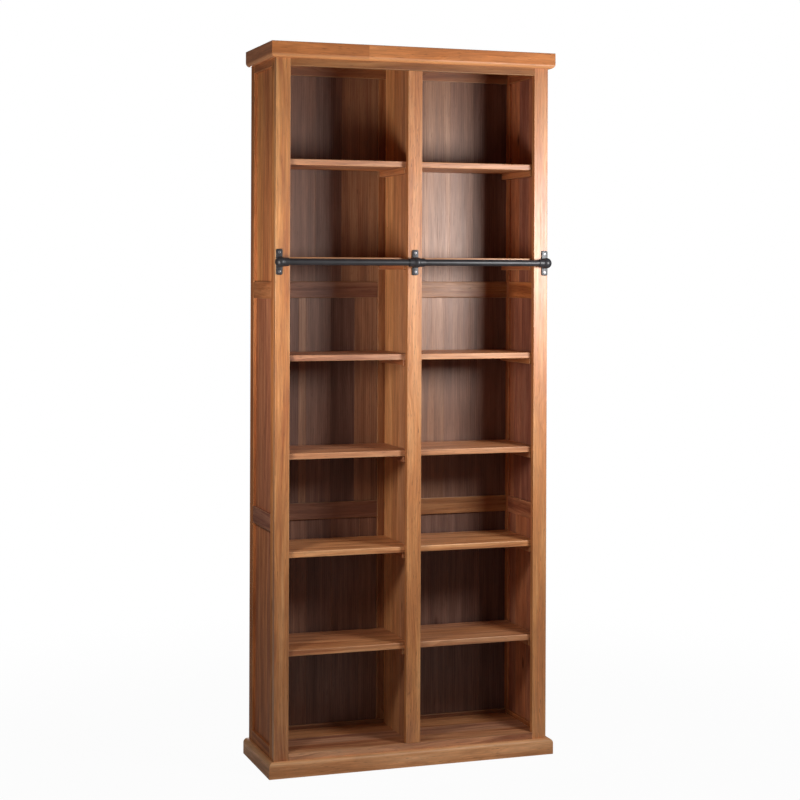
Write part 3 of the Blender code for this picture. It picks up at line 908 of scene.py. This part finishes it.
@dataclass
class SideFrame:
    """One frame-and-panel side: two stiles, four rails and three panels of glued boards."""

    hand: Hand
    stile_tone: float = 0.1
    rail_tones: dict[str, float] = field(
        default_factory=lambda: {"bottom": 0.0, "lower": -0.6, "upper": 0.1, "top": -0.2},
    )
    # Boards of each panel, from the front.
    boards: dict[str, Boards] = field(default_factory=lambda: {
        "bottom": ((-0.015, -0.35), (0.075, -0.15), (0.12, -0.25)),
        "middle": ((0.03, -0.5), (0.095, -0.35), (0.12, -0.2)),
        "top": ((-0.02, 0.32), (0.055, 0.18), (0.12, 0.6)),
    })
    # The right side's panels are drawn deeper, the top one most: painted shade on its inner face, which the
    # key softbox does not reach.
    right_drop: dict[str, float] = field(
        default_factory=lambda: {"bottom": 0.2, "middle": 0.45, "top": 0.85},
    )

    def build(self) -> None:
        """Make and dress the stiles, the rails and the panels."""
        word = self.hand.word
        reach = (0.0, JOINERY.rail_tongue, 0.0)
        rail_low, _ = node_box(f"side_bottom_rail_{word}", reach)
        rear_low, rear_high = node_box(f"side_rear_stile_{word}")
        front_low, _ = node_box(f"side_front_stile_{word}", (0.0, JOINERY.face_tongue, 0.0))
        front_low[0] = rear_low[0]
        front_high = np.array([rear_high[0], rail_low[1] - JOINERY.gap, rear_high[2]])
        for end, low, high in (("front", front_low, front_high), ("rear", rear_low, rear_high)):
            node = f"side_{end}_stile_{word}"
            stile = TIMBER.board(low, high, Axis.Z, self.stile_tone)
            put(f"{node}_board", [stile], SIDE_FRAME_WOOD, nodes=(node,))
        for level, tone in self.rail_tones.items():
            dress(f"side_{level}_rail_{word}", Axis.Y, tone, SIDE_FRAME_WOOD, trim=reach)
        trim = JOINERY.panel_reach - JOINERY.gap
        for level in ("bottom", "middle", "top"):
            node = f"side_{level}_panel_{word}"
            low, high = node_box(node, (0.0, trim, trim), (0.0, trim, trim))
            # Painted shade deepens the right side's boards.
            drop = self.right_drop[level] if self.hand is Hand.RIGHT else 0.0
            chosen = tuple((joint, tone - drop) for joint, tone in self.boards[level])
            boards = TIMBER.glued(low, high, Axis.Z, Axis.Y, tone=0.0, spread=0.0, chosen=chosen)
            put(f"{node}_boards", boards, SIDE_WOOD, nodes=(node,))


@dataclass
class Partition:
    """The middle partition: a centre stile at the front, one in the back and thin boards between them."""

    stile_tone: float = 0.22
    stile_fade: float = -0.4
    rear_tone: float = 0.0
    board_tone: float = 0.05
    board_spread: float = 0.20

    def build(self) -> None:
        """Make and dress the stiles and the boards."""
        dress("partition_front_post", Axis.Z, self.stile_tone, CENTRE_WOOD, fade=self.stile_fade)
        dress("partition_rear_post", Axis.Z, self.rear_tone, RAIL_WOOD)
        trim = (JOINERY.batten_wide, JOINERY.face_tongue + JOINERY.gap, 0.0)
        low, high = node_box("partition_board", trim, trim)
        boards = TIMBER.glued(low, high, Axis.Z, Axis.Y, self.board_tone, self.board_spread)
        put("partition_boards", boards, PARTITION_WOOD, nodes=("partition_board",))


@dataclass
class BackFrame:
    """The frame-and-panel back: long rails at top and bottom, and mid rails and panels in each bay."""

    long_rail_tone: float = -0.05
    # The left bay's rails are deep, as painted shade where the partition keeps the key softbox off the back;
    # the right bay's are pale, as painted light.
    rail_tones: dict[Hand, float] = field(default_factory=lambda: {Hand.LEFT: -0.85, Hand.RIGHT: 0.5})
    # The bottom panels' boards are drawn about these deep tones: painted shade in the bottom bays, where
    # little light reaches the back.
    bottom_tones: dict[Hand, float] = field(default_factory=lambda: {Hand.LEFT: -0.78, Hand.RIGHT: -0.55})
    bottom_spread: float = 0.20
    # Joints and tones of the other panels' boards. The left bay's boards can be told apart in the
    # photograph; in the right bay the boards on the right are deep, as painted shade where the right stile
    # keeps the key softbox off the back.
    seen_boards: dict[str, Boards] = field(default_factory=lambda: {
        "back_top_panel_left": ((-0.315, -0.5), (-0.236, -0.2), (-0.149, -0.58), (-0.06, 0.25), (0.0, 0.5)),
        "back_middle_panel_left": (
            (-0.342, -0.35), (-0.289, -0.65), (-0.266, 0.45), (-0.185, -0.4), (-0.104, -0.68), (-0.05, 0.05),
            (0.0, 0.2),
        ),
        "back_top_panel_right": ((0.13, 0.0), (0.22, 0.1), (0.30, -0.3), (0.42, -0.5)),
        "back_middle_panel_right": ((0.10, 0.05), (0.20, -0.05), (0.29, -0.35), (0.42, -0.55)),
    })

    def build(self) -> None:
        """Make and dress the rails and the panels."""
        reach = (JOINERY.rail_tongue, 0.0, 0.0)
        rails = {"back_top_rail": self.long_rail_tone, "back_bottom_rail": self.long_rail_tone}
        for hand, tone in self.rail_tones.items():
            rails |= {f"back_{level}_rail_{hand.word}": tone for level in ("upper", "lower")}
        for node, tone in rails.items():
            dress(node, Axis.X, tone, RAIL_WOOD, trim=reach)
        trim = JOINERY.panel_reach - JOINERY.gap
        for hand in Hand:
            for level in ("bottom", "middle", "top"):
                node = f"back_{level}_panel_{hand.word}"
                low, high = node_box(node, (trim, 0.0, trim), (trim, 0.0, trim))
                boards = TIMBER.glued(
                    low, high, Axis.Z, Axis.X, self.bottom_tones[hand], self.bottom_spread, quartered=True,
                    chosen=self.seen_boards.get(node, ()),
                )
                put(f"{node}_boards", boards, PANEL_WOOD, nodes=(node,))


@dataclass
class EndBoards:
    """The top board, and the bottom board that is notched round the front stiles."""

    tone: float = -0.05
    front_strip: float = 0.085
    # The front strip reaches down behind the plinth, so no light shows between them.
    strip_drop: float = 0.0015

    def build(self) -> None:
        """Make and dress the two boards."""
        low, high = node_box("top_board")
        boards = TIMBER.glued(
            low, high, Axis.X, Axis.Y, self.tone, spread=0.1, widest=0.12, narrowest=0.08,
        )
        put("top_board_boards", boards, MOULDING_WOOD, nodes=("top_board",))

        housed = (JOINERY.dado, 0.0, 0.0)
        low, high = node_box("bottom_board", housed, housed)
        face_low, face_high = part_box("face_stile_right")
        opening = face_low[0] - JOINERY.gap
        behind = face_high[1] + JOINERY.gap
        joint = low[1] + self.front_strip
        half = [(opening, low[1]), (opening, behind), (high[0], behind), (high[0], joint)]
        corners = np.array(half + [(-x, y) for x, y in reversed(half)])
        radii = np.full(len(corners), TIMBER.glue_line)
        outline = rounded_outline(corners, radii)
        strip = carried(outline, Axis.Z, Cut(low[2] - self.strip_drop), Cut(high[2]))
        rest_low = np.array([low[0], joint, low[2]])
        boards = [TIMBER.with_grain(strip, Axis.X, self.tone)]
        boards += TIMBER.glued(
            rest_low, high, Axis.X, Axis.Y, self.tone, spread=0.12, widest=0.11, narrowest=0.08,
        )
        put("bottom_board_boards", boards, SHELF_WOOD, nodes=("bottom_board",))


class Run(Enum):
    """Where a length of moulding lies."""

    FRONT = 0
    LEFT = -1
    RIGHT = 1


@dataclass
class Moulding:
    """A planted moulding with one rounded edge, mitred at the front corners."""

    name: str
    round_below: bool
    tone: float
    wood: Acacia
    joint: float | None = None
    # The returns are drawn deeper than the front: painted shade on the sides.
    return_drop: float = 0.0
    spread: float = 0.03
    round_radius: float = 0.013
    arris: float = 0.0015
    hidden: float = 0.0003

    def outline(
        self, run: Run, half: float, face: float, low_z: float, high_z: float, thick: float,
    ) -> Outline:
        """Draw the section: a rectangle with one edge rounded to a quarter circle.

        Args:
            run: which length it is for.
            half: half the width of the carcase.
            face: place of the face frame's front.
            low_z: underside.
            high_z: top.
            thick: how far it stands out.

        Returns:
            The outline in the axes of that length.
        """
        gap = JOINERY.gap
        outer = self.round_radius if self.round_below else self.hidden
        upper = self.arris if self.round_below else self.round_radius
        section = np.array([[gap, low_z], [gap + thick, low_z], [gap + thick, high_z], [gap, high_z]])
        radii = np.array([self.hidden, outer, upper, self.hidden])
        if run is Run.FRONT:
            corners = np.stack([face - section[:, 0], section[:, 1]], axis=1)
        else:
            corners = np.stack([section[:, 1], run.value * (half + section[:, 0])], axis=1)
        return rounded_outline(corners, radii, steps=8)

    def build(self) -> None:
        """Make and dress the front length, in two boards if it is jointed, and the two returns."""
        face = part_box("face_stile_left")[0][1]
        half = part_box("face_stile_right")[1][0]
        mitre = 0.75 * JOINERY.gap
        for run in Run:
            node = f"{self.name}_{run.name.lower()}"
            low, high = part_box(node)
            thick = high[1] - low[1] if run is Run.FRONT else high[0] - low[0]
            outline = self.outline(run, half, face, low[2], high[2], thick)
            if run is Run.FRONT:
                left = Cut(mitre - half - face, (1.0, 0.0))
                right = Cut(half + face - mitre, (-1.0, 0.0))
                cuts = [left, right] if self.joint is None else [left, Cut(self.joint), right]
                lengths = [carried(outline, Axis.X, first, last) for first, last in zip(cuts, cuts[1:])]
                shells = [TIMBER.with_grain(length, Axis.X, self.tone, self.spread) for length in lengths]
            else:
                front = Cut(face + half + mitre, (0.0, -float(run.value)))
                length = carried(outline, Axis.Y, front, Cut(high[1]))
                # Painted shade: the return is deeper than the front.
                shells = [TIMBER.with_grain(length, Axis.Y, self.tone - self.return_drop)]
            put(f"{node}_moulding", shells, self.wood, nodes=(node,))


@dataclass
class Shelves:
    """The loose shelves of one bay, each of a few boards glued edge to edge, eased along the front."""

    hand: Hand
    own_tones: dict[int, float]
    count: int = 6
    tone: float = 0.02
    arris: float = 0.0022

    def build(self) -> None:
        """Make and dress the shelves; each rides on its own body."""
        for number in range(1, self.count + 1):
            node = f"shelf_{self.hand.word}_{number}"
            low, high = node_box(node)
            tone = self.own_tones.get(number, self.tone)
            boards = TIMBER.glued(
                low, high, Axis.X, Axis.Y, tone, spread=0.10, widest=0.12, narrowest=0.07, arris=self.arris,
            )
            put(f"{node}_boards", boards, SHELF_WOOD, body=node, nodes=(node,))


@dataclass
class Battens:
    """The strips that carry the shelves: under each, one along the side and one along the partition."""

    count: int = 6
    tone: float = 0.05

    def build(self) -> None:
        """Make and dress the battens of both bays."""
        _, board_high = node_box("partition_board")
        side_low, _ = node_box("side_front_stile_right")
        wide = JOINERY.batten_wide
        for hand in Hand:
            for place, near in (("partition", board_high[0] - wide), ("side", side_low[0])):
                strips = []
                for number in range(1, self.count + 1):
                    low, high = node_box(f"shelf_{hand.word}_{number}", (0.0, JOINERY.batten_inset, 0.0))
                    low[0], high[0] = sorted((hand.value * near, hand.value * (near + wide - JOINERY.gap)))
                    high[2] = low[2] - JOINERY.gap
                    low[2] = high[2] - JOINERY.batten_tall
                    strips.append(TIMBER.board(low, high, Axis.Y, self.tone))
                put(f"{place}_battens_{hand.word}", strips, FRAME_WOOD)


@dataclass
class LadderRail:
    """The iron tube for a library ladder, its three ball brackets and their screws."""

    ball: float = 0.0165
    neck: float = 0.0135
    collar: float = 0.0125
    collar_long: float = 0.026
    lip: float = 0.0012
    bore: float = 0.0103
    wall: float = 0.002
    socket: float = 0.0063
    plate_wide: float = 0.020
    plate_tall: float = 0.078
    plate_thick: float = 0.004
    plate_corner: float = 0.005
    screw_spacing: float = 0.058
    screw_radius: float = 0.0042
    around: int = 64
    # Castings stay a thousandth inside their solids, and a high power leaves a small fillet.
    inside: float = 0.999
    fillet_power: int = 28

    def bracket_radius(self, x: Array) -> Array:
        """Return the bracket's outer radius along its line.

        It is the greater of the ball and of a collar that tapers from the neck to its end, blended by a
        high power mean so that a small fillet is left between them; a lip rounds the collar's end.

        Args:
            x: places along the line, from the ball's middle.

        Returns:
            The radius at each place.
        """
        out = np.abs(x)
        ball = np.sqrt(np.clip(self.ball ** 2 - x ** 2, 0, None))
        collar = self.neck + (self.collar - self.neck) * out / self.collar_long
        past = np.clip(out - (self.collar_long - self.lip), 0, self.lip)
        collar = collar - self.lip + np.sqrt(self.lip ** 2 - past ** 2)
        power = self.fillet_power
        return self.inside * (ball ** power + collar ** power) ** (1 / power)

    def bracket(self, hand: Hand | None) -> tuple[Array, bool]:
        """Draw a bracket's profile: open at both ends in the middle, domed at the outer end otherwise.

        Args:
            hand: which end it is for; none for the middle.

        Returns:
            Rows of place and radius, and whether the profile closes on itself.
        """
        taper = np.linspace(0, self.collar_long - self.lip, 26)[1:]
        end = self.collar_long - self.lip + self.lip * np.sin(np.linspace(0, np.pi / 2, 6)[1:])
        half = np.concatenate([taper, end])
        if hand is None:
            x = np.concatenate([-half[::-1], [0.0], half])
            outer = np.stack([x, self.bracket_radius(x)], axis=1)
            mouths = np.array([[self.collar_long, self.bore], [-self.collar_long, self.bore]])
            return np.concatenate([outer, mouths]), True
        turn = np.linspace(np.pi - 0.02, np.pi / 2, 14)
        dome = self.inside * self.ball * np.stack([np.cos(turn), np.sin(turn)], axis=1)
        outer = np.stack([half, self.bracket_radius(half)], axis=1)
        inner = np.array([
            [self.collar_long, self.bore], [-self.socket, self.bore], [-self.socket, 0.2 * self.bore],
        ])
        profile = np.concatenate([dome, outer, inner])
        if hand is Hand.RIGHT:
            profile = profile[::-1] * [-1, 1]
        return profile, False

    def plate(self, x: float, z: float, back: float) -> Shell:
        """Make a screw plate: a rounded rectangle carried through its thickness.

        Args:
            x: middle along X.
            z: middle along Z.
            back: place of its back along Y.

        Returns:
            The plate's surface.
        """
        half_size = np.array([self.plate_tall, self.plate_wide]) / 2
        corners = np.array([z, x]) + half_size * [[-1, -1], [1, -1], [1, 1], [-1, 1]]
        outline = rounded_outline(corners, np.full(4, self.plate_corner), steps=8)
        plate = carried(outline, Axis.Y, Cut(back - self.plate_thick), Cut(back), ease=self.lip)
        plate.normals = None
        return plate

    def screw(self, x: float, y: float, z: float) -> Shell:
        """Make a countersunk screw's head with a cross recess.

        Rings climb from the seat over a low dome. The last two follow a cross, whose radius at an angle
        from the nearest arm is the arm's length, or its half width over the sine of that angle if less.

        Args:
            x: middle along X.
            y: place of the plate's front.
            z: middle along Z.

        Returns:
            The screw's surface.
        """
        angle = np.linspace(0, 2 * np.pi, self.around, endpoint=False)
        fold = np.abs((angle + np.pi / 4) % (np.pi / 2) - np.pi / 4)
        arm = 0.62 * self.screw_radius
        half_width = 0.14 * self.screw_radius
        cross = np.minimum(arm, half_width / np.maximum(np.sin(fold), 1e-3))
        rim = np.ones_like(angle) * self.screw_radius
        rings = np.stack([0.7 * rim, rim, 0.97 * rim, 0.86 * rim, 0.72 * rim, cross, 0.8 * cross])
        heights = np.array([-1.0, 0.0, 0.25, 0.45, 0.52, 0.55, -0.5])[:, None] * MM
        points = np.stack(
            [x + rings * np.cos(angle), y - heights + 0 * rings, z + rings * np.sin(angle)], axis=-1,
        )
        return Shell(points.reshape(-1, 3), grid_faces(len(rings), len(angle), wrapped=False))

    def build(self) -> None:
        """Make and dress the tube, the brackets and the screws."""
        low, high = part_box("ladder_rail_tube")
        centre = ((low[1] + high[1]) / 2, (low[2] + high[2]) / 2)
        radius = (high[2] - low[2]) / 2
        inner = radius - self.wall
        tube = np.array([[low[0], radius], [high[0], radius], [high[0], inner], [low[0], inner]])
        tube_shell = turned(tube, centre, self.around, wrapped=True)
        put("ladder_rail_tube_iron", [tube_shell], IRON, nodes=("ladder_rail_tube",))

        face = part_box("face_stile_left")[0][1] - JOINERY.gap
        front = face - self.plate_thick
        screws = []
        for word, hand in (("left", Hand.LEFT), ("middle", None), ("right", Hand.RIGHT)):
            node = f"ladder_rail_bracket_{word}"
            box_low, box_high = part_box(node)
            x = 0.0
            if hand is Hand.LEFT:
                x = box_low[0] + self.ball
            elif hand is Hand.RIGHT:
                x = box_high[0] - self.ball
            profile, wrapped = self.bracket(hand)
            casting = turned(profile + [x, 0.0], centre, self.around, wrapped)
            put(f"{node}_casting", [casting, self.plate(x, centre[1], face)], IRON, nodes=(node,))
            for offset in (-self.screw_spacing / 2, self.screw_spacing / 2):
                screws.append(self.screw(x, front, centre[1] + offset))
        put("ladder_rail_screws", screws, SCREW_STEEL)


# Studio


@dataclass(frozen=True)
class Softbox:
    """A rectangular studio lamp."""

    name: str
    place: Triple
    target: Triple
    wide: float
    tall: float
    watts: float
    colour: str = WHITE

    def build(self) -> None:
        """Hang the lamp and aim it."""
        lamp = bpy.data.lights.new(self.name, "AREA")
        lamp.shape = "RECTANGLE"
        lamp.size = self.wide
        lamp.size_y = self.tall
        lamp.energy = self.watts
        lamp.color = linear(self.colour)[:3]
        holder = bpy.data.objects.new(self.name, lamp)
        holder.visible_camera = False
        bpy.context.scene.collection.objects.link(holder)
        x, y, z = (t - p for t, p in zip(self.target, self.place))
        holder.location = self.place
        holder.rotation_euler = (math.atan2(math.hypot(x, y), -z), 0.0, math.atan2(y, x) - math.pi / 2)


@dataclass
class Studio:
    """Camera, lamps, white surround and floor."""

    eye: Triple = (-1.851, -5.3133, 1.514)
    yaw_deg: float = -19.18
    roll_deg: float = 0.21
    focal_px: float = 1794.6
    horizon_px: float = 271.3
    image_px: float = 800.0
    sensor_mm: float = 36.0
    floor_half: float = 40.0
    floor_level: float = -0.0005
    card: str = "C8C8C6"
    ambient: float = 0.02
    # The photograph is a cut-out: its white stands behind the case, but its gloss shows a dimmer room.
    gloss_level: float = 0.12
    shadow_share: float = 0.035
    shadow_near: float = 0.9
    shadow_far: float = 2.6
    lamps: tuple[Softbox, ...] = (
        Softbox("key_softbox", (0.81, -1.20, 1.60), (0.15, 0.0, 1.45), 0.44, 0.40, 21.2),
        Softbox("left_softbox", (-1.02, -0.80, 1.38), (-0.1, 0.0, 1.45), 0.26, 0.34, 8.8, "FFF5EC"),
        Softbox("left_fill", (-1.60, -2.00, 0.90), (0.2, 0.0, 0.75), 0.80, 1.30, 2.4),
        Softbox("plinth_strip", (0.0, -0.36, 0.05), (0.0, -0.148, 0.03), 0.90, 0.05, 0.06),
        Softbox("rear_softbox", (0.5, 2.60, 1.50), (0.0, 0.15, 1.10), 1.00, 1.20, 32.0),
    )

    def camera(self) -> None:
        """Set the camera at the photograph's view: level, with the horizon raised by a shift."""
        data = bpy.data.cameras.new("view")
        data.sensor_width = self.sensor_mm
        data.lens = self.focal_px / self.image_px * self.sensor_mm
        data.shift_y = (self.horizon_px - self.image_px / 2) / self.image_px
        data.clip_end = 200.0
        eye = bpy.data.objects.new("view", data)
        bpy.context.scene.collection.objects.link(eye)
        eye.location = self.eye
        eye.rotation_euler = (math.radians(90), math.radians(-self.roll_deg), math.radians(self.yaw_deg))
        bpy.context.scene.camera = eye

    def seen(self, tree: Tree) -> Socket:
        """Work out how white the surround is to a ray: full to the camera, dimmer in gloss and glass.

        Args:
            tree: the tree to work in.

        Returns:
            The level, nought for light that falls on the object.
        """
        path = add(tree, "LightPath")
        level = path.outputs["Is Camera Ray"]
        for ray in ("Is Glossy Ray", "Is Transmission Ray"):
            level = calc(tree, "MAXIMUM", level, calc(tree, "MULTIPLY", path.outputs[ray], self.gloss_level))
        return level

    def surround(self) -> None:
        """Make the world white to the camera and in gloss, and a plain soft light on everything else."""
        world = bpy.data.worlds.new("white_surround")
        bpy.context.scene.world = world
        world.use_nodes = True
        tree = world.node_tree
        tree.nodes.clear()
        strength = calc(tree, "MAXIMUM", self.seen(tree), self.ambient)
        white = add(tree, "Background", {}, {0: linear(WHITE), 1: strength})
        add(tree, "OutputWorld", {}, {0: white.outputs[0]})

    def floor(self) -> None:
        """Lay the floor: pale card that shows the shadow near the object and runs out into the white."""
        half = self.floor_half
        level = self.floor_level
        mesh = bpy.data.meshes.new("floor")
        corners = [(-half, -half, level), (half, -half, level), (half, half, level), (-half, half, level)]
        mesh.from_pydata(corners, [], [(0, 1, 2, 3)])
        material, tree, shader = new_material("matte_pale_card")
        feed(tree, shader, {"Base Color": linear(self.card), "Roughness": 0.9})
        place = add(tree, "TexCoord").outputs["Object"]
        away = add(tree, "VectorMath", {"operation": "LENGTH"}, {0: place}).outputs["Value"]
        near_level = 1 - self.shadow_share
        cleared = ranged(tree, away, self.shadow_near, self.shadow_far, near_level, 1.0, smooth=True)
        share = calc(tree, "MULTIPLY", cleared, self.seen(tree))
        white = add(tree, "Emission", {}, {0: linear(WHITE), 1: 1.0})
        mixed = add(tree, "MixShader", {}, {0: share, 1: shader.outputs[0], 2: white.outputs[0]})
        tree.links.new(mixed.outputs[0], tree.nodes["Material Output"].inputs["Surface"])
        mesh.materials.append(material)
        floor = bpy.data.objects.new("floor", mesh)
        bpy.context.scene.collection.objects.link(floor)

    def build(self) -> None:
        """Set up the whole studio."""
        self.camera()
        self.surround()
        self.floor()
        for lamp in self.lamps:
            lamp.build()
        bpy.context.scene.view_settings.view_transform = "Standard"


def main() -> None:
    """Build every sub-assembly, then the studio."""
    logging.basicConfig(level=logging.INFO, format="%(name)s: %(message)s")
    FaceFrame().build()
    for hand in Hand:
        SideFrame(hand).build()
    Partition().build()
    BackFrame().build()
    EndBoards().build()
    Moulding(
        "cornice", round_below=True, tone=0.05, wood=MOULDING_WOOD, joint=-0.155, return_drop=0.35,
    ).build()
    Moulding("plinth", round_below=False, tone=0.1, wood=PLINTH_WOOD).build()
    Shelves(Hand.LEFT, {2: 0.3, 3: -0.3, 4: -0.25}).build()
    Shelves(Hand.RIGHT, {2: 0.2}).build()
    Battens().build()
    LadderRail().build()
    Studio().build()


if __name__ == "__main__":
    main()
